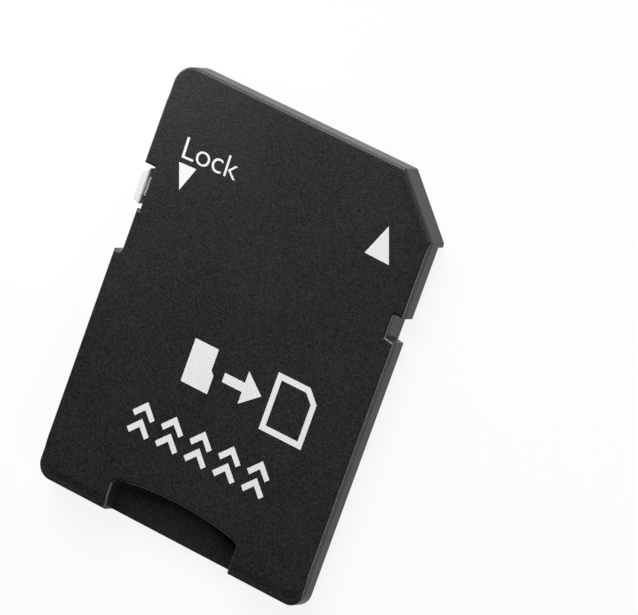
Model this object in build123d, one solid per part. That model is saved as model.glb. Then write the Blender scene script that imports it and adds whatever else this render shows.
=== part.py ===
from build123d import *
import os

# Memory card adapter.
# A case of the full card size takes one small memory card in its rear slot and
# leads the small card's contacts to its own. The label face is up, the contacts
# end points along +Y, and the origin is under the middle of the contact side.

# Full-size card outline, seen from the label side, in millimetres
card_width = 24.0
card_length = 32.0
card_thickness = 2.1
corner_cut = 4.0
front_corner_radius = 1.55
rear_corner_radius = 1.2
cut_corner_radius = 0.3

# Contact side: a raised middle between two thinner side rails
rail_step = 0.7
rail_width = 0.85
rear_margin = 0.8
land_bevel = 0.14

# Walls and fits of the two moulded halves
cover_wall = 0.45
cover_rim = 0.4
side_wall = 0.8
fit_gap = 0.05
shadow_gap = 0.06
shadow_depth = 0.06
rim_round = 0.25
rim_share = 0.85
rail_bevel = 0.06
room_margin = 0.15
clamp_width = 0.8
clamp_from_pad_end = 0.5

# Raised label field on the cover, with fine steps down to the end ledges
count_of_steps = 3
field_step = 0.04
field_slope = 0.02
field_strip = 0.19
field_inset_side = 0.6
field_inset_front = 0.6
field_inset_rear = 0.95
field_inset_cut = 0.45
field_exit_left = 3.0
field_exit_right = 4.8
field_exit_rear = 2.5
field_corner_radius = 0.9
field_exit_radius = 0.3

# Notches in the outline
lock_notch_from_front = 7.8
lock_notch_length = 6.6
lock_notch_depth = 0.94
lock_ledge_depth = 0.67
lock_ledge_length = 3.35
lock_notch_radius = 0.25
host_notch_from_front = 9.7
host_notch_length = 1.7
host_notch_depth = 0.8
host_notch_slope = 0.12
host_notch_radius = 0.12
finger_notch_side_depth = 2.3
finger_notch_middle_depth = 2.9
finger_notch_radius = 0.4

# Small memory card and the slot that takes it
small_length = 15.0
small_width = 11.0
small_front_width = 9.7
small_thickness = 0.7
small_shoulder = 7.2
slot_side_gap = 0.1
slot_height_gap = 0.1
small_recess = 0.05
nib_radius = 0.3
nib_reach = 0.18
nib_below_shoulder = 0.9

# Stamped contacts. The pads stand at set distances from the card's two sides
stock = 0.15
corner_pad_from_right = 2.625
first_pad_from_right = 5.125
last_wide_pad_from_left = 6.375
narrow_pad_from_left = 3.95
end_pad_from_left = 2.25
wide_pad_gap = 0.75
narrow_pad_width = 1.5
pad_length = 4.75
pad_from_front = 0.9
ground_pad_from_front = 0.6
corner_pad_length = 3.5
corner_pad_from_front = 4.2
pad_corner_radius = 0.2
corner_recess_margin = 1.1
lip_drop = 0.06
lip_width = 0.4
pad_tail = 0.4
window_gap = 0.05
joggle_run = 0.15
lead_width = 0.55
lead_cover_gap = 0.02
count_of_fingers = 8
finger_pitch = 1.1
finger_rise = 0.28
finger_length = 2.2
finger_tip = 0.65
finger_tip_width = 0.4
finger_tip_drop = 0.13
knee_share = 0.143
fan_from_corner_pad = 0.5
bridge_width = 0.6
bridge_lift = 0.1
bridge_ramp = 0.3
bridge_from_pads = 1.1

# Moulded bar that holds the spring ends of the contacts
bar_length = 2.0
bar_overhang = 0.65
bar_under = 0.25

# Lock slider
slider_length = 2.73
slider_front_taper = 0.45
slider_rear_taper = 0.27
slider_bevel = 0.06
slider_end_gap = 0.2
slider_flush_gap = 0.05
slider_under_gap = 0.05
slider_top_gap = 0.1
tongue_length = 1.4
channel_depth = 0.56
channel_lip = 0.16
channel_floor = 1.05
channel_sill = 1.2

# Values worked out from the sizes above
half_width = card_width / 2
half_length = card_length / 2
cover_under = card_thickness - cover_wall
parting = card_thickness - cover_rim
cover_low = parting + shadow_gap
ledge_top = card_thickness - count_of_steps * field_step
slot_floor = cover_under - small_thickness - slot_height_gap
lead_floor = slot_floor
lead_top = lead_floor + stock
recess_floor = lead_top + lead_cover_gap
well_floor = slot_floor - bar_under
bar_face = -half_length + small_recess + small_length + fit_gap
bar_front = bar_face + bar_length
pad_rear = half_length - pad_from_front - pad_length
corner_pad_rear = half_length - corner_pad_from_front - corner_pad_length
pad_back = pad_rear - pad_tail
corner_pad_back = corner_pad_rear - pad_tail
front_middle_x = (small_front_width - small_width) / 2
middle_finger = (count_of_fingers - 1) / 2
cut_sum = half_width + half_length - corner_cut
slant = 2 ** 0.5
past = 1.0


def prism(face, low, high):
    """A flat face raised into a solid between two heights."""
    return Pos(0, 0, low) * extrude(face, amount=high - low)


def block(x0, x1, y0, y1):
    """A flat rectangle between two corners."""
    return Pos((x0 + x1) / 2, (y0 + y1) / 2) * Rectangle(x1 - x0, y1 - y0)


def rounded(face, radius, points):
    """Round the corners of a flat face that lie nearest the given points."""
    corners = [face.vertices().sort_by_distance(Vector(x, y, 0))[0] for x, y in points]
    return fillet(corners, radius)


def polygon(points):
    """A flat face through the given points."""
    return make_face(Polyline(*points, close=True))


def bevel_top(solid, drop, run):
    """Bevel every edge of a prism's top face, by a drop in height and a run inwards."""
    top = solid.faces().sort_by(Axis.Z)[-1]
    return chamfer(top.edges(), run, drop, reference=top)


def bevel_bottom(solid, size):
    """Bevel every edge of a prism's bottom face."""
    return chamfer(solid.faces().sort_by(Axis.Z)[0].edges(), size)


# Card outline

def plain_outline():
    """The full card's outline with its cut corner and three round ones."""
    cut_low = (half_width, half_length - corner_cut)
    cut_high = (half_width - corner_cut, half_length)
    front = (-half_width, half_length)
    rear = [(-half_width, -half_length), (half_width, -half_length)]
    face = polygon(rear + [cut_low, cut_high, front])
    face = rounded(face, front_corner_radius, [front])
    face = rounded(face, rear_corner_radius, rear)
    return rounded(face, cut_corner_radius, [cut_low, cut_high])


def lock_notch():
    """The slider's notch on the left: deep at its front end, a ledge behind."""
    front = half_length - lock_notch_from_front
    rear = front - lock_notch_length
    ledge = rear + lock_ledge_length
    deep = -half_width + lock_notch_depth
    shallow = -half_width + lock_ledge_depth
    outside = -half_width - past
    points = [(outside, front), (deep, front), (deep, ledge), (shallow, ledge)]
    face = polygon(points + [(shallow, rear), (outside, rear)])
    return rounded(face, lock_notch_radius, [(shallow, rear)])


def host_notch():
    """The small notch on the right, with a slightly sloped rear side."""
    front = half_length - host_notch_from_front
    rear = front - host_notch_length
    inner = half_width - host_notch_depth
    outside = half_width + past
    slope = host_notch_slope / host_notch_depth * (host_notch_depth + past)
    face = polygon([(outside, front), (inner, front), (inner, rear), (outside, rear - slope)])
    return rounded(face, host_notch_radius, [(inner, front)])


def finger_notch():
    """The thumb cut-out at the rear of the cover, with a bowed front edge."""
    half = small_width / 2 + slot_side_gap
    side = -half_length + finger_notch_side_depth
    middle = -half_length + finger_notch_middle_depth
    outside = -half_length - past
    bow = ThreePointArc((-half, side), (0, middle), (half, side))
    rest = Polyline((half, side), (half, outside), (-half, outside), (-half, side))
    face = make_face(bow + rest)
    return rounded(face, finger_notch_radius, [(-half, side), (half, side)])


outline = plain_outline()
shell_outline = outline - lock_notch() - host_notch()
cover_outline = shell_outline - finger_notch()


# Top cover

def label_field():
    """The raised label field: inset at both ends, full width between them."""
    left = -half_width + field_inset_side
    right = half_width - field_inset_side
    front = half_length - field_inset_front
    rear = -half_length + field_inset_rear
    cut = cut_sum - field_inset_cut * slant
    rear_corners = [(left, rear), (right, rear)]
    ends = polygon(rear_corners + [(right, cut - right), (cut - front, front), (left, front)])
    ends = rounded(ends, field_corner_radius, rear_corners + [(left, front)])
    exit_left = half_length - field_exit_left
    exit_right = half_length - field_exit_right
    exit_rear = -half_length + field_exit_rear
    outside = half_width + past
    band = block(-outside, 0, exit_rear, exit_left) + block(0, outside, exit_rear, exit_right)
    turns = [(left, exit_rear), (right, exit_rear), (left, exit_left), (right, exit_right)]
    return rounded(ends + band, field_exit_radius, turns)


def top_cover():
    """The cover half: ledges, fine steps, label field, rim and inner tongue."""
    field = label_field()
    cover = rimmed_plate(ledge_top)
    for steps in range(1, count_of_steps):
        cover += raised_part(offset(field, amount=steps * field_strip), steps)
    cover += raised_part(field, 0)
    cover += prism(cover_outline & offset(plain_outline(), amount=-shadow_depth), parting, cover_low)
    tongue = offset(cover_outline, amount=-side_wall - fit_gap)
    cover += prism(tongue, cover_under, parting)
    return cover + clamp_ribs()


def rimmed_plate(top):
    """A plate of the whole cover with a round rim, which takes most of its side wall."""
    plate = prism(cover_outline, cover_low, top)
    radius = min(rim_round, rim_share * (top - cover_low))
    return fillet(plate.faces().sort_by(Axis.Z)[-1].edges(), radius)


def raised_part(plan, steps):
    """The part that stands so many steps below the label face, with steep risers."""
    top = card_thickness - steps * field_step
    return bevel_top(prism(plan, cover_low, top), field_step, field_slope) & rimmed_plate(top)


def clamp_ribs():
    """Two ribs under the cover that press on the walls between the contact pads."""
    inside = offset(pad_room(), amount=-fit_gap)
    rear = pad_rear + clamp_from_pad_end
    front = half_length - pad_from_front - clamp_from_pad_end - clamp_width
    ribs = inside & block(-half_width, half_width, rear, rear + clamp_width)
    ribs += inside & block(-half_width, half_width, front, front + clamp_width)
    return prism(ribs, recess_floor, cover_under)


# Rooms inside the bottom shell

def pad_room():
    """The room over the row of pads, inside the walls."""
    inside = offset(plain_outline(), amount=-side_wall - room_margin)
    row = block(-half_width, half_width, pad_back - joggle_run - room_margin, half_length)
    left = pad_x(0) - half_pad(0) - room_margin
    corner = block(left, half_width, corner_pad_back - room_margin, pad_back)
    return inside & (row + corner)


def fan_room():
    """The room where the leads fan in from the pads to the bar."""
    reach = lead_width / 2 + room_margin
    left, right = pad_x(last_column) - reach, pad_x(0) + reach
    top = corner_pad_back - fan_from_corner_pad
    points = [(left, pad_back), (left, top), (bar_left(), bar_front), (bar_right(), bar_front)]
    return polygon(points + [(right, top), (right, corner_pad_back), (pad_x(1), pad_back)])


def slot_room():
    """The small card's slot: full width at the rear, narrower past the shoulder."""
    side = small_width / 2 + slot_side_gap
    front_side = front_middle_x + small_front_width / 2 + slot_side_gap
    shoulder = -half_length + small_recess + small_shoulder + slot_side_gap
    outside = -half_length - past
    points = [(-side, outside), (side, outside), (side, shoulder)]
    points += [(front_side, shoulder + side - front_side), (front_side, bar_face)]
    return polygon(points + [(-side, bar_face)])


def card_nib():
    """The moulded nib on the slot's side that the small card's side notch clicks over."""
    side = small_width / 2 + slot_side_gap
    y = -half_length + small_recess + small_shoulder - nib_below_shoulder
    nib = Pos(side - nib_reach + nib_radius, y) * Circle(nib_radius)
    return nib & block(0, side + fit_gap, y - nib_radius, y + nib_radius)


# Contacts. Column 0 is the pad behind the cut corner, and 8 the last on the left

count_of_wide_pads = 6
count_of_pads = 9
columns = range(count_of_pads)
last_column = columns[-1]
longer_columns = columns[3:5]
pad_pitch = (card_width - first_pad_from_right - last_wide_pad_from_left) / (count_of_wide_pads - 1)
pad_width = pad_pitch - wide_pad_gap


def pad_x(column):
    """The middle of a pad across the card."""
    if column == 0:
        return half_width - corner_pad_from_right
    if column <= count_of_wide_pads:
        return half_width - first_pad_from_right - (column - 1) * pad_pitch
    return -half_width + (end_pad_from_left if column == last_column else narrow_pad_from_left)


def half_pad(column):
    """Half of a pad's width: the last two are narrower."""
    return (narrow_pad_width if column > count_of_wide_pads else pad_width) / 2


def finger_x(number):
    """The middle of a spring finger, counted from the left."""
    return front_middle_x + (number - middle_finger) * finger_pitch


def bar_left():
    return finger_x(0) - bar_overhang


def bar_right():
    return finger_x(count_of_fingers - 1) + bar_overhang


def pad_plan(column):
    """One pad seen from above, with round front corners."""
    x = pad_x(column)
    half = half_pad(column)
    if column == 0:
        back, front = corner_pad_back, half_length - corner_pad_from_front
        return block(x - half, x + half, back, front)
    front = half_length - (ground_pad_from_front if column in longer_columns else pad_from_front)
    face = block(x - half, x + half, pad_back, front)
    return rounded(face, pad_corner_radius, [(x - half, front), (x + half, front)])


def ribbon(points, width):
    """A flat strip of constant width along straight runs, with round turns and ends."""
    return make_face(offset(Polyline(*points), amount=width / 2))


def lead_plan(column, number):
    """A lead from its pad, in a slant to its finger's place, through the bar to the tip.
    It is equally wide across the card all the way, so that no two leads can meet."""
    x, finger = pad_x(column), finger_x(number)
    back = corner_pad_back if column == 0 else pad_back
    high = corner_pad_back - fan_from_corner_pad
    low = bar_front + knee_share * (high - bar_front)
    tip = bar_face - finger_length - finger_tip
    half, half_tip = lead_width / 2, finger_tip_width / 2
    middle = [(x, back + lead_width), (x, high), (finger, low), (finger, bar_face)]
    left = [(across - half, along) for across, along in middle]
    right = [(across + half, along) for across, along in reversed(middle)]
    return polygon(left + [(finger - half_tip, tip), (finger + half_tip, tip)] + right)


def side_profile(back):
    """The formed side view of a contact: pad, joggle, lead, spring finger and tip."""
    low = rail_step + stock / 2
    high = lead_floor + stock / 2
    crest = bar_face - finger_length
    points = [(half_length, low), (back, low), (back - joggle_run, high), (bar_face, high)]
    points += [(crest, high + finger_rise), (crest - finger_tip, high + finger_rise - finger_tip_drop)]
    return extrude(Plane.YZ * ribbon(points, stock), amount=half_width, both=True)


def contact(column, number):
    """One stamped contact: its plan cut from its formed side view."""
    back = corner_pad_back if column == 0 else pad_back
    plan = pad_plan(column) + lead_plan(column, number)
    return prism(plan, 0, card_thickness) & side_profile(back)


def bridge_ends():
    """The middle of each end of the ground bridge, on the two ground pads."""
    return pad_x(bridged_column), pad_x(ground_place[0])


def bridge_plan():
    right, left = bridge_ends()
    front = pad_rear - bridge_from_pads
    reach = lead_width / 2
    return block(left - reach, right + reach, front - bridge_width, front)


def bridge_profile():
    """The bridge's formed view from the rear: up from one lead, over two, and down."""
    right, left = bridge_ends()
    low = lead_floor + stock / 2
    high = recess_floor + bridge_lift + stock / 2
    shoulder = lead_width
    points = [(right + shoulder, low), (right - shoulder, low), (right - shoulder - bridge_ramp, high)]
    points += [(left + shoulder + bridge_ramp, high), (left + shoulder, low), (left - shoulder, low)]
    return extrude(Plane.XZ * ribbon(points, stock), amount=card_length, both=True)


def ground_contact():
    """The ground contact: two pads joined by a bridge over two leads, and one finger."""
    x = pad_x(bridged_column)
    end = pad_rear - bridge_from_pads - bridge_width / 2
    short = ribbon([(x, pad_back + lead_width), (x, end)], lead_width)
    piece = contact(*ground_place)
    piece += prism(pad_plan(bridged_column) + short, 0, card_thickness) & side_profile(pad_back)
    return piece + (prism(bridge_plan(), 0, card_thickness) & bridge_profile())


# Each contact's pad column and finger number. The ground contact has a second pad
contact_places = {
    "data2_contact": (0, 7),
    "data3_contact": (1, 6),
    "command_contact": (2, 5),
    "supply_contact": (4, 4),
    "clock_contact": (5, 3),
    "data0_contact": (7, 1),
    "data1_contact": (8, 0),
}
ground_place = (6, 2)
bridged_column = 3


# Bottom shell

def land_outline():
    """The raised middle of the contact side, inside the rails and out to the cut corner."""
    side = half_width - rail_width
    rear = -half_length + rear_margin
    middle = block(-side, side, rear, half_length)
    corner = block(0, half_width, half_length - corner_cut - cut_corner_radius, half_length)
    return (plain_outline() & (middle + corner)) - lock_notch() - host_notch()


def land():
    """The raised middle with its bevelled edges."""
    return bevel_bottom(prism(land_outline(), 0, rail_step + rail_bevel), land_bevel)


def window(column):
    """The opening under one pad, seen from above, with round rear corners."""
    x = pad_x(column)
    half = half_pad(column) + window_gap
    if column == 0:
        cut = cut_sum - corner_recess_margin * slant
        left, right = x - half, x + half
        rear = corner_pad_rear
        face = polygon([(left, rear), (right, rear), (right, cut - right), (left, cut - left)])
    else:
        rear = pad_rear
        face = block(x - half, x + half, rear, half_length - lip_width)
    return rounded(face, pad_corner_radius, [(x - half, rear), (x + half, rear)])


def windows():
    """All windows: one for each pad, and one for the two narrow pads together."""
    faces = block(pad_x(last_column), pad_x(last_column - 1), pad_rear, half_length - lip_width)
    for column in columns:
        faces += window(column)
    return faces


def lip_cuts():
    """The low stretches of the front lip, ahead of each window."""
    cuts = Sketch()
    for column in columns[1:last_column]:
        half = half_pad(column) + window_gap
        left = pad_x(last_column if column > count_of_wide_pads else column) - half
        cuts += block(left, pad_x(column) + half, half_length - lip_width - fit_gap, half_length + past)
    return cuts


def seat(column, number):
    """The seat of one contact: its pad's opening, its joggle and its lead's groove."""
    x = pad_x(column)
    back = corner_pad_back if column == 0 else pad_back
    joggle = block(x - lead_width / 2, x + lead_width / 2, back - joggle_run - stock / 2, back + fit_gap)
    opening = offset(pad_plan(column) + joggle, amount=fit_gap)
    seat_cut = prism(opening, rail_step, recess_floor)
    if number is None:
        return seat_cut
    return seat_cut + prism(offset(lead_plan(column, number), amount=fit_gap), lead_floor, recess_floor)


def ground_seats():
    """The seats of the ground contact, with room for the ramps of its bridge."""
    right, left = bridge_ends()
    reach = lead_width + bridge_ramp + fit_gap
    front = pad_rear - bridge_from_pads + fit_gap
    rear = front - bridge_width - 2 * fit_gap
    rooms = block(right - reach, right + lead_width / 2 + fit_gap, rear, pad_back)
    rooms += block(left - lead_width / 2 - fit_gap, left + reach, rear, front)
    return seat(*ground_place) + seat(bridged_column, None) + prism(rooms, lead_floor, recess_floor)


def lock_channel():
    """The groove behind the lock notch that the slider's tongue runs in."""
    low = tongue_rear() - lock_travel() - fit_gap
    high = tongue_rear() + tongue_length + fit_gap
    mouth = -half_width + lock_notch_depth
    back = -half_width + lock_notch_depth + channel_depth
    slit = prism(block(-half_width, back, low, high), channel_sill, parting)
    return slit + prism(block(mouth + channel_lip, back, low, high), channel_floor, parting)


def bottom_shell():
    """The bottom half: rails and land, slot, windows, seats, grooves and rooms."""
    shell = bevel_bottom(prism(shell_outline, rail_step, parting), rail_bevel) + land()
    shell -= prism(offset(shell_outline, amount=-side_wall), cover_under, parting)
    shell -= prism(slot_room(), slot_floor, parting)
    shell += prism(card_nib(), slot_floor, cover_under)
    shell -= prism(block(bar_left(), bar_right(), well_rear(), bar_face), well_floor, slot_floor)
    shell -= prism(offset(bar_plan(), amount=fit_gap) + bar_plan_mouth(), well_floor, cover_under)
    shell -= prism(pad_room() + fan_room(), recess_floor, cover_under)
    for column, number in contact_places.values():
        shell -= seat(column, number)
    shell -= ground_seats()
    shell -= prism(windows(), 0, rail_step)
    shell -= prism(lip_cuts(), 0, lip_drop)
    return shell - lock_channel()


def well_rear():
    """The rear end of the well that the fingers flex down into."""
    return bar_face - finger_length - finger_tip - lead_width


# Contact bar

def bar_plan():
    return block(bar_left(), bar_right(), bar_face, bar_front)


def bar_plan_mouth():
    """The strip of the bar's pocket that opens into the slot."""
    return block(bar_left() - fit_gap, bar_right() + fit_gap, bar_face - fit_gap, bar_face + fit_gap)


def contact_bar(contacts):
    """The bar moulded round the leads; its rear face is the small card's stop."""
    bar = prism(bar_plan(), well_floor, cover_under - fit_gap)
    for piece in contacts:
        bar -= piece
    return bar


# Lock slider

def slider_inner():
    return -half_width + lock_ledge_depth - slider_flush_gap


def slider_front():
    return half_length - lock_notch_from_front - slider_end_gap


def lock_travel():
    return lock_notch_length - slider_length - 2 * slider_end_gap


def tongue_rear():
    return slider_front() - slider_length / 2 - tongue_length / 2


def lock_slider():
    """The lock slider: a tapered finger piece with a hooked tongue behind it."""
    inner, outer = slider_inner(), -half_width + slider_flush_gap
    front, rear = slider_front(), slider_front() - slider_length
    low, high = rail_step + slider_under_gap, card_thickness - slider_top_gap
    side = [(outer, front - slider_front_taper), (outer, rear + slider_rear_taper)]
    grip = prism(polygon([(inner, front)] + side + [(inner, rear)]), low, high)
    grip = bevel_bottom(bevel_top(grip, slider_bevel, slider_bevel), slider_bevel)
    tongue_top = parting - fit_gap
    back = -half_width + lock_notch_depth + channel_depth - fit_gap
    hook = -half_width + lock_notch_depth + channel_lip + fit_gap
    start, end = tongue_rear(), tongue_rear() + tongue_length
    neck = prism(block(inner - fit_gap, back, start, end), channel_sill + fit_gap, tongue_top)
    return grip + neck + prism(block(hook, back, start, end), channel_floor + fit_gap, tongue_top)


# Build and write each piece

def build():
    pieces = {name: contact(*place) for name, place in contact_places.items()}
    pieces["ground_contact"] = ground_contact()
    pieces["contact_bar"] = contact_bar(list(pieces.values()))
    pieces["top_cover"] = top_cover()
    pieces["bottom_shell"] = bottom_shell()
    pieces["lock_slider"] = lock_slider()
    return pieces


os.makedirs("parts", exist_ok=True)
for name, piece in build().items():
    export_step(piece, f"parts/{name}.step")
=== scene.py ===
import math

import bpy
import numpy as np
from mathutils import Euler, Matrix, Vector


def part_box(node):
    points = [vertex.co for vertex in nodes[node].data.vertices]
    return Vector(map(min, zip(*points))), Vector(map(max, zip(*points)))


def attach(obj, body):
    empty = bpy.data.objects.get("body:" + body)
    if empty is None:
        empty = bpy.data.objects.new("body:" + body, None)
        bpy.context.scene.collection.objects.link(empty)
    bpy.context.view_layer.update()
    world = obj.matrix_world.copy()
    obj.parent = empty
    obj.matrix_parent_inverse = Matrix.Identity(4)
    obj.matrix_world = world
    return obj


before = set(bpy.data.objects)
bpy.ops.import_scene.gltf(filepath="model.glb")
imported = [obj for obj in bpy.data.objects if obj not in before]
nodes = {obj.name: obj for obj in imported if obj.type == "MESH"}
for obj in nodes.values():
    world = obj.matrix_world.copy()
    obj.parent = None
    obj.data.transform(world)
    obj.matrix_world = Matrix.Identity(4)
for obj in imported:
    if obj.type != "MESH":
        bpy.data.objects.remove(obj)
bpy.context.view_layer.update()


# Camera and studio
# The card lies label up on white paper. The camera looks down on it from past its right
# front corner, through a long lens, and the main light is a low window at its front end.
MM = 0.001
camera_place = (216.85, 98.04, 384.81)
camera_turn = (-0.543, 31.135, 22.841)
camera_lens = 360.29
camera_sensor = 36
camera_near = 1
camera_far = 10000
sky_level = 0.02
paper_colour = 0.95
paper_roughness = 0.8
white_as_seen = 0.88
white_as_mirrored = 0.75


def place_camera():
    """The camera at the photograph's place, in millimetres from the middle of the card."""
    data = bpy.data.cameras.new("camera")
    data.sensor_width = camera_sensor
    data.lens = camera_lens
    data.clip_start = camera_near * MM
    data.clip_end = camera_far * MM
    camera = bpy.data.objects.new("camera", data)
    camera.location = Vector(camera_place) * MM
    camera.rotation_euler = Euler([math.radians(angle) for angle in camera_turn])
    bpy.context.scene.collection.objects.link(camera)
    bpy.context.scene.camera = camera


def place_lamp(name, place, width, depth, power):
    """A soft flat lamp, in millimetres and watts, turned to the middle of the card."""
    data = bpy.data.lights.new(name, "AREA")
    data.shape = "RECTANGLE"
    data.size = width * MM
    data.size_y = depth * MM
    data.energy = power
    lamp = bpy.data.objects.new(name, data)
    lamp.location = Vector(place) * MM
    lamp.rotation_euler = Vector(place).to_track_quat("Z", "Y").to_euler()
    lamp.visible_camera = False
    bpy.context.scene.collection.objects.link(lamp)


def connect(tree, source, output, target, entry):
    tree.links.new(source.outputs[output], target.inputs[entry])


def arithmetic(tree, operation, first=None, second=None, value=0.0):
    """One sum on two nodes' values, or on one node's value and a number."""
    node = tree.nodes.new("ShaderNodeMath")
    node.operation = operation
    node.inputs[1].default_value = value
    for entry, source in enumerate((first, second)):
        if source:
            connect(tree, source, 0, node, entry)
    return node


def light_sky():
    """An even dim sky, which is plain white where the camera sees it."""
    world = bpy.data.worlds.new("sky")
    world.use_nodes = True
    tree = world.node_tree
    sky = tree.nodes["Background"]
    sky.inputs["Color"].default_value = (1, 1, 1, 1)
    path = tree.nodes.new("ShaderNodeLightPath")
    seen = arithmetic(tree, "MAXIMUM", value=sky_level)
    connect(tree, path, "Is Camera Ray", seen, 0)
    connect(tree, seen, 0, sky, "Strength")
    bpy.context.scene.world = world


def table_finish():
    """White paper: lit and shaded by the lamps, and mostly plain white as it is seen, or
    mirrored in the card's sides."""
    material = bpy.data.materials.new("white_paper")
    material.use_nodes = True
    tree = material.node_tree
    paper = tree.nodes["Principled BSDF"]
    paper.inputs["Base Color"].default_value = (paper_colour,) * 3 + (1,)
    paper.inputs["Roughness"].default_value = paper_roughness
    plain = tree.nodes.new("ShaderNodeEmission")
    plain.inputs["Color"].default_value = (1, 1, 1, 1)
    path = tree.nodes.new("ShaderNodeLightPath")
    mirrored = arithmetic(tree, "MAXIMUM")
    connect(tree, path, "Is Glossy Ray", mirrored, 0)
    connect(tree, path, "Is Transmission Ray", mirrored, 1)
    mirrored = arithmetic(tree, "MULTIPLY", mirrored, value=white_as_mirrored)
    seen = arithmetic(tree, "MULTIPLY", value=white_as_seen)
    connect(tree, path, "Is Camera Ray", seen, 0)
    mix = tree.nodes.new("ShaderNodeMixShader")
    connect(tree, arithmetic(tree, "MAXIMUM", mirrored, seen), 0, mix, 0)
    connect(tree, paper, 0, mix, 1)
    connect(tree, plain, 0, mix, 2)
    connect(tree, mix, 0, tree.nodes["Material Output"], "Surface")
    return material


def lay_table(half_size=2.0):
    """One flat sheet under the card: four corners at height 0, and half_size in metres
    from the middle each way."""
    mesh = bpy.data.meshes.new("table")
    corners = np.array([(-1, -1, 0), (1, -1, 0), (1, 1, 0), (-1, 1, 0)]) * half_size
    mesh.from_pydata(corners.tolist(), [], [(0, 1, 2, 3)])
    mesh.materials.append(table_finish())
    table = bpy.data.objects.new("table", mesh)
    bpy.context.scene.collection.objects.link(table)


bpy.context.scene.view_settings.view_transform = "Standard"
place_camera()
light_sky()
place_lamp("front_window", (-60, 380, 165), 300, 130, 1.3)
place_lamp("front_lamp", (-60, 330, 330), 260, 260, 0.88)
place_lamp("right_lamp", (400, -100, 215), 220, 120, 0.85)
place_lamp("corner_lamp", (-70, 75, 80), 60, 60, 0.04)
place_lamp("corner_glow", (-32, 15.5, 12), 10, 10, 0.0034)
lay_table()


# Case halves
# Two injection mouldings in black plastic, welded round the rim. The mould is spark
# eroded on its flat faces, which leaves an even fine grain, and smoother on its sides.
plastic_colour = 0.013
grain_size = 0.085
pit_depth = 0.014
pit_depth_share_on_sides = 0.12
pit_tone_on_sides = 0.3
pit_tone_on_flats = 1.9
side_roughness = 0.36
flat_roughness = 0.5
worn_patch_size = 4.25
worn_patch_roughness = 0.03


def object_place(tree):
    return tree.nodes.new("ShaderNodeTexCoord")


def noise(tree, place, size, detail=2.0, stretch=(1, 1, 1)):
    """Noise whose lumps are about size millimetres wide."""
    turn = tree.nodes.new("ShaderNodeMapping")
    turn.inputs["Scale"].default_value = stretch
    connect(tree, place, "Object", turn, 0)
    pattern = tree.nodes.new("ShaderNodeTexNoise")
    pattern.inputs["Scale"].default_value = 1 / (size * MM)
    pattern.inputs["Detail"].default_value = detail
    connect(tree, turn, 0, pattern, "Vector")
    return pattern


def pits(tree, place, size):
    """A field of small cells about size millimetres wide, each with its own value."""
    pattern = tree.nodes.new("ShaderNodeTexVoronoi")
    pattern.inputs["Scale"].default_value = 1 / (size * MM)
    connect(tree, place, "Object", pattern, "Vector")
    return pattern


def spread(tree, source, low, high, start=0.3, end=0.7):
    """A value from start to end spread over low to high, and held there beyond. The
    greater part of a noise lies between the start and end that are given here."""
    ramp = tree.nodes.new("ShaderNodeMapRange")
    ramp.inputs["From Min"].default_value = start
    ramp.inputs["From Max"].default_value = end
    ramp.inputs["To Min"].default_value = low
    ramp.inputs["To Max"].default_value = high
    connect(tree, source, 0, ramp, 0)
    return ramp


def bump(tree, pattern, depth, share=None):
    """A relief of the given depth in millimetres, all over or by another node's share."""
    relief = tree.nodes.new("ShaderNodeBump")
    relief.inputs["Distance"].default_value = depth * MM
    relief.inputs["Strength"].default_value = 1
    connect(tree, pattern, 0, relief, "Height")
    if share:
        connect(tree, share, 0, relief, "Strength")
    return relief


def flatness(tree, steep=0.95, flat=0.995):
    """1 where the surface faces straight up or down, and 0 on sides and round edges: the
    upright part of the normal, spread from steep to flat."""
    facing = tree.nodes.new("ShaderNodeNewGeometry")
    split = tree.nodes.new("ShaderNodeSeparateXYZ")
    connect(tree, facing, "Normal", split, 0)
    upright = tree.nodes.new("ShaderNodeMath")
    upright.operation = "ABSOLUTE"
    connect(tree, split, "Z", upright, 0)
    return spread(tree, upright, 0, 1, steep, flat)


def tinted(tree, colour, tint):
    """A colour made darker and lighter by a node's value."""
    mixed = tree.nodes.new("ShaderNodeVectorMath")
    mixed.operation = "SCALE"
    mixed.inputs[0].default_value = colour
    connect(tree, tint, 0, mixed, "Scale")
    return mixed


def grained_plastic():
    """Black plastic: fine pits on its flat faces, in relief and in tone, and smoother
    sides. Each pit's tone is 1, plus how far its value lies from a half, times the tone
    that the pits have there."""
    material = bpy.data.materials.new("black_grained_plastic")
    material.use_nodes = True
    tree = material.node_tree
    shader = tree.nodes["Principled BSDF"]
    place = object_place(tree)
    flat = flatness(tree)
    cells = pits(tree, place, grain_size)
    each = tree.nodes.new("ShaderNodeSeparateColor")
    connect(tree, cells, "Color", each, 0)
    strength = spread(tree, flat, pit_tone_on_sides, pit_tone_on_flats, 0, 1)
    apart = arithmetic(tree, "SUBTRACT", each, value=0.5)
    tint = arithmetic(tree, "ADD", arithmetic(tree, "MULTIPLY", apart, strength), value=1.0)
    connect(tree, tinted(tree, (plastic_colour,) * 3, tint), 0, shader, "Base Color")
    gloss = spread(tree, flat, side_roughness, flat_roughness, 0, 1)
    patches = noise(tree, place, worn_patch_size)
    uneven = spread(tree, patches, -worn_patch_roughness, worn_patch_roughness)
    connect(tree, arithmetic(tree, "ADD", gloss, uneven), 0, shader, "Roughness")
    share = spread(tree, flat, pit_depth_share_on_sides, 1, 0, 1)
    connect(tree, bump(tree, cells, pit_depth, share), 0, shader, "Normal")
    return material


def dress(node, material):
    """Puts a material in a CAD node's slot and keeps its shape as it is."""
    nodes[node].material_slots[0].material = material


black_plastic = grained_plastic()
dress("bottom_shell", black_plastic)
dress("top_cover", black_plastic)


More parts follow.
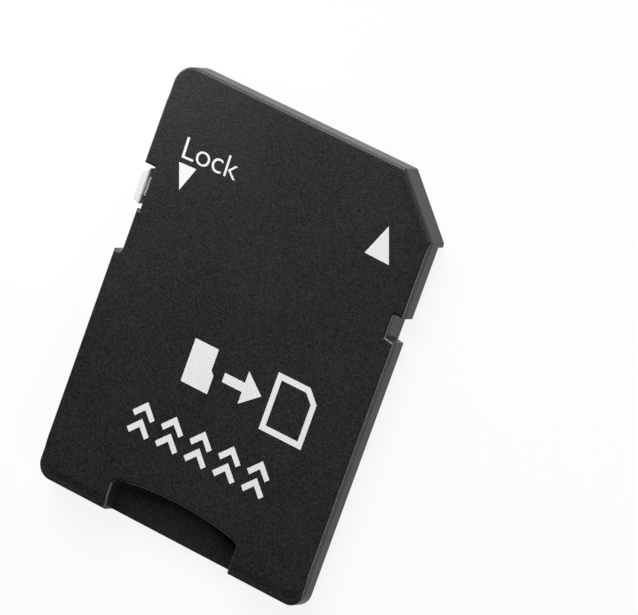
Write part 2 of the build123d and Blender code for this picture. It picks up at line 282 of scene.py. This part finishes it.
# Contact bar
# The bar moulded round the leads, in the same black plastic from a smoother mould. It
# lies inside, between the two halves.
def smooth_plastic(name, colour, roughness, depth, lumps):
    """Smooth moulded plastic: a faint relief, and a little unevenness in gloss and tone.
    The relief's depth and its lumps are in millimetres."""
    material = bpy.data.materials.new(name)
    material.use_nodes = True
    tree = material.node_tree
    shader = tree.nodes["Principled BSDF"]
    place = object_place(tree)
    tint = spread(tree, noise(tree, place, lumps), 0.96, 1.04)
    connect(tree, tinted(tree, (colour,) * 3, tint), 0, shader, "Base Color")
    uneven = noise(tree, place, lumps * 12)
    gloss = spread(tree, uneven, roughness - 0.04, roughness + 0.04)
    connect(tree, gloss, 0, shader, "Roughness")
    connect(tree, bump(tree, noise(tree, place, lumps, 3), depth), 0, shader, "Normal")
    return material


bar_plastic = smooth_plastic("black_smooth_plastic", plastic_colour, 0.38, 0.003, 0.1)
dress("contact_bar", bar_plastic)


# Contacts
# Eight strips stamped from thin copper alloy and plated with gold on their faces. The
# stamped edges keep the brown of the alloy.
gold_colour = (0.93, 0.76, 0.44, 1)
alloy_colour = (0.36, 0.16, 0.06, 1)
rolling_line_width = 0.12
rolling_line_stretch = (1, 0.04, 1)
rolling_line_depth = 0.0015


def gold_plate():
    """Pale gold with fine rolling lines, and brown alloy where a face looks sideways."""
    material = bpy.data.materials.new("gold_plated_strip")
    material.use_nodes = True
    tree = material.node_tree
    shader = tree.nodes["Principled BSDF"]
    shader.inputs["Metallic"].default_value = 1
    place = object_place(tree)
    rolled = noise(tree, place, rolling_line_width, 2, rolling_line_stretch)
    colour = tree.nodes.new("ShaderNodeMix")
    colour.data_type = "RGBA"
    colour.inputs["A"].default_value = alloy_colour
    colour.inputs["B"].default_value = gold_colour
    connect(tree, flatness(tree, 0.3, 0.6), 0, colour, "Factor")
    connect(tree, colour, "Result", shader, "Base Color")
    connect(tree, spread(tree, rolled, 0.24, 0.36), 0, shader, "Roughness")
    connect(tree, bump(tree, rolled, rolling_line_depth), 0, shader, "Normal")
    return material


plated_strip = gold_plate()
for name in nodes:
    if name.endswith("_contact"):
        dress(name, plated_strip)


# Lock slider
# One small moulding in light grey plastic, which snaps into the channel of the left
# notch and slides in it by hand.
dress("lock_slider", smooth_plastic("light_grey_plastic", 0.76, 0.42, 0.004, 0.09))


# Printed marks
# White ink, pad printed on the label field: the word and the triangle of the lock, the
# triangle at the cut corner, a sign for putting in the small card, and rows of chevrons.
ink_colour = 0.88
ink_roughness = 0.55
ink_relief = 0.003
ink_height = 0.008
field_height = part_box("top_cover")[1].z / MM
letter_gap = 0.98
letter_weight = -0.009
outline_width = 0.45
chevron_width = 0.44


def white_ink():
    """Matt white ink that follows the grain under it."""
    material = bpy.data.materials.new("white_ink")
    material.use_nodes = True
    tree = material.node_tree
    shader = tree.nodes["Principled BSDF"]
    place = object_place(tree)
    fine = noise(tree, place, grain_size)
    tint = spread(tree, fine, 0.96, 1.04)
    connect(tree, tinted(tree, (ink_colour,) * 3, tint), 0, shader, "Base Color")
    shader.inputs["Roughness"].default_value = ink_roughness
    connect(tree, bump(tree, fine, ink_relief), 0, shader, "Normal")
    return material


ink = white_ink()


def finish_mark(name, mesh):
    """Adds a printed mark to the case."""
    mesh.materials.clear()
    mesh.materials.append(ink)
    mark = bpy.data.objects.new(name, mesh)
    bpy.context.scene.collection.objects.link(mark)
    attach(mark, "case")


def ink_patch(name, outline):
    """A flat patch of ink: its outline, in card millimetres and anticlockwise, is carried
    from just under the field up to the ink's height, and closed at both ends."""
    ring = np.array(outline, float)
    count = len(ring)
    heights = field_height + np.repeat((-ink_height, ink_height), count)
    points = np.column_stack([np.tile(ring, (2, 1)), heights]) * MM
    around = np.arange(count)
    following = np.roll(around, -1)
    sides = np.column_stack([around, following, following + count, around + count])
    faces = sides.tolist() + [around[::-1].tolist(), (around + count).tolist()]
    mesh = bpy.data.meshes.new(name)
    mesh.from_pydata(points.tolist(), [], faces)
    finish_mark(name, mesh)


def ink_lines(name, paths, width, closed=False):
    """Lines of ink with sharp corners: each path's points are moved to both sides along
    the mitre, half the width over one plus the cosine of the turn, and the flat section
    through the four points made there is carried along the path."""
    paths = np.array(paths, float)
    count = paths.shape[1]
    runs = np.roll(paths, -1, 1) - paths
    runs /= np.linalg.norm(runs, axis=2, keepdims=True)
    normals = np.stack([-runs[..., 1], runs[..., 0]], axis=2)
    if not closed:
        normals[:, -1] = normals[:, -2]
    before = np.roll(normals, 1, 1)
    if not closed:
        before[:, 0] = normals[:, 0]
    mitres = (normals + before) / (1 + (normals * before).sum(2, keepdims=True)) * width / 2
    sides = np.stack([paths - mitres, paths - mitres, paths + mitres, paths + mitres], axis=2)
    heights = np.broadcast_to([[-1], [1], [1], [-1]], sides.shape[:3] + (1,)) * ink_height
    points = np.concatenate([sides, heights + field_height], axis=3).reshape(-1, 3) * MM
    index = np.arange(len(points)).reshape(len(paths), count, 4)
    start = index if closed else index[:, :-1]
    end = np.roll(index, -1, 1) if closed else index[:, 1:]
    quads = np.stack([start, end, np.roll(end, -1, 2), np.roll(start, -1, 2)], axis=3)
    faces = quads.reshape(-1, 4).tolist()
    if not closed:
        faces += index[:, 0].tolist() + index[:, -1, ::-1].tolist()
    mesh = bpy.data.meshes.new(name)
    mesh.from_pydata(points.tolist(), [], faces)
    finish_mark(name, mesh)


def printed_word(name, text, place, width, cap_height, turn):
    """A word in plain letters: a raised text is made a mesh, scaled to a set width and
    height, turned by some degrees about its lower left corner, and put there at place."""
    letters = bpy.data.curves.new(name, "FONT")
    letters.body = text
    letters.size = 1
    letters.space_character = letter_gap
    letters.offset = letter_weight
    letters.extrude = 0.5
    holder = bpy.data.objects.new(name, letters)
    bpy.context.scene.collection.objects.link(holder)
    bpy.context.view_layer.update()
    mesh = bpy.data.meshes.new_from_object(holder)
    bpy.data.objects.remove(holder)
    points = np.empty(3 * len(mesh.vertices), np.float32)
    mesh.vertices.foreach_get("co", points)
    points = points.reshape(-1, 3)
    low = points.min(0)
    scale = np.array((width, cap_height, 2 * ink_height)) * MM / np.ptp(points, axis=0)
    mesh.transform(Matrix.Diagonal((*scale, 1)) @ Matrix.Translation((-low[0], -low[1], 0)))
    mesh.transform(Matrix.Rotation(math.radians(turn), 4, "Z"))
    mesh.transform(Matrix.Translation(Vector((place[0], place[1], field_height)) * MM))
    finish_mark(name, mesh)


printed_word("lock_word", "Lock", (-9.18, 9.73), 4.77, 1.56, 2)
ink_patch("lock_triangle", [(-9.22, 9.37), (-8.46, 7.53), (-7.69, 9.43)])
ink_patch("corner_triangle", [(7.37, 9.39), (9.52, 9.34), (8.47, 11.83)])
small_card = [(-3.1, -4.9), (-0.7, -4.9), (-0.7, -3.5), (-1.0, -3.2), (-1.0, -1.6), (-3.1, -1.6)]
ink_patch("small_card_sign", small_card)
arrow = [(0.1, -3.6), (1.9, -3.6), (1.9, -4.5), (3.5, -3.25), (1.9, -2.0), (1.9, -2.9), (0.1, -2.9)]
ink_patch("arrow_sign", arrow)
full_card = [(4.4, -5.2), (7.7, -5.2), (7.7, -2.1), (6.9, -1.3), (4.4, -1.3)]
ink_lines("full_card_sign", [full_card], outline_width, closed=True)
chevron = np.array([(-0.85, -0.5), (0, 0.35), (0.85, -0.5)])
middles = np.stack(np.meshgrid(np.linspace(-5, 5.4, 5), (-9.35, -8.05)), axis=2).reshape(-1, 2)
ink_lines("direction_chevrons", middles[:, None] + chevron, chevron_width)
